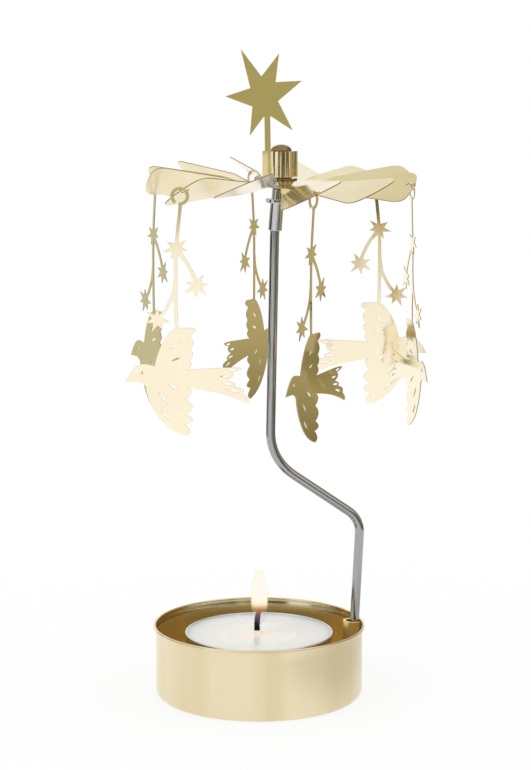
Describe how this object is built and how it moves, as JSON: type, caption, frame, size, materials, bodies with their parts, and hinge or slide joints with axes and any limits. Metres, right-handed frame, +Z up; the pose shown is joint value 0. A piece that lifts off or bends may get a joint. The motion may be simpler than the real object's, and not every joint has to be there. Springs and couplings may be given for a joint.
{
  "type": "candle carousel",
  "caption": "Tealight-driven carousel: a dish holds the candle and a cranked rod, whose needle carries a bladed rotor with hanging birds and a star on top.",
  "frame": {"origin": "middle of the dish's flat underside, on the surface that it stands on", "axes": "+Z up, +X towards the side where the rod stands in the dish (right in the picture), -Y towards the viewer of the picture"},
  "size_m": [0.0771, 0.089, 0.1648],
  "materials": {
    "dish_brass": "thin polished pale brass, mirror-like inside, softer outside",
    "cup_aluminium": "thin drawn foil, satin",
    "wax": "smooth white paraffin wax, slightly glossy",
    "wick_tab_steel": "tinned sheet",
    "wick_cotton": "charred braided cotton",
    "rod_steel": "smooth grey drawn steel",
    "ferrule_steel": "dark turned steel, polished",
    "needle_steel": "polished hard steel",
    "rotor_brass": "thin pale brass sheet, polished, softly bent",
    "cap_brass": "deep-drawn brass, mirror polish",
    "topper_brass": "etched brass sheet, satin",
    "pendant_brass": "etched brass sheet, satin, bright where it faces the light"
  },
  "bodies": {
    "base": {"dish": "dish_brass", "rod_socket": "dish_brass"},
    "tealight": {"tealight_cup": "cup_aluminium", "wax": "wax", "wick_tab": "wick_tab_steel", "wick": "wick_cotton"},
    "stand": {"rod": "rod_steel", "ferrule": "ferrule_steel", "needle": "needle_steel"},
    "rotor": {"rotor": "rotor_brass", "hub_cap": "cap_brass", "star_topper": "topper_brass"},
    "pendant_1": {"pendant_1": "pendant_brass"},
    "pendant_2": {"pendant_2": "pendant_brass"},
    "pendant_3": {"pendant_3": "pendant_brass"},
    "pendant_4": {"pendant_4": "pendant_brass"},
    "pendant_5": {"pendant_5": "pendant_brass"},
    "pendant_6": {"pendant_6": "pendant_brass"}
  },
  "joints": [
    {"name": "tealight_lift", "type": "slide", "parent": "base", "child": "tealight", "axis": [0, 0, 1], "range_m": [0, 0.024]},
    {"name": "rod_turn", "type": "hinge", "parent": "base", "child": "stand", "pos_m": [0.02374, 0.00334, 0.00085], "axis": [0.0498, 0.0078, 0.9987], "range_deg": [-90, 90]},
    {"name": "rotor_spin", "type": "hinge", "parent": "stand", "child": "rotor", "pos_m": [0.0056, 0.0005, 0.1406], "axis": [0, 0, 1], "continuous": true},
    {"name": "pendant_1_swing", "type": "hinge", "parent": "rotor", "child": "pendant_1", "pos_m": [0.01302, -0.03217, 0.13043], "axis": [-0.8729, 0.4879, 0], "range_deg": [-15, 15]},
    {"name": "pendant_2_swing", "type": "hinge", "parent": "rotor", "child": "pendant_2", "pos_m": [0.0376, -0.00941, 0.13043], "axis": [-0.9668, -0.2554, 0], "range_deg": [-15, 15]},
    {"name": "pendant_3_swing", "type": "hinge", "parent": "rotor", "child": "pendant_3", "pos_m": [0.03018, 0.02326, 0.13043], "axis": [0.014, -0.9999, 0], "range_deg": [-15, 15]},
    {"name": "pendant_4_swing", "type": "hinge", "parent": "rotor", "child": "pendant_4", "pos_m": [-0.00182, 0.03317, 0.13001], "axis": [0.8729, -0.4879, 0], "range_deg": [-15, 15]},
    {"name": "pendant_5_swing", "type": "hinge", "parent": "rotor", "child": "pendant_5", "pos_m": [-0.0264, 0.01041, 0.13015], "axis": [0.859, 0.512, 0], "range_deg": [-15, 15]},
    {"name": "pendant_6_swing", "type": "hinge", "parent": "rotor", "child": "pendant_6", "pos_m": [-0.01898, -0.02226, 0.13043], "axis": [-0.014, 0.9999, 0], "range_deg": [-15, 15]}
  ]
}
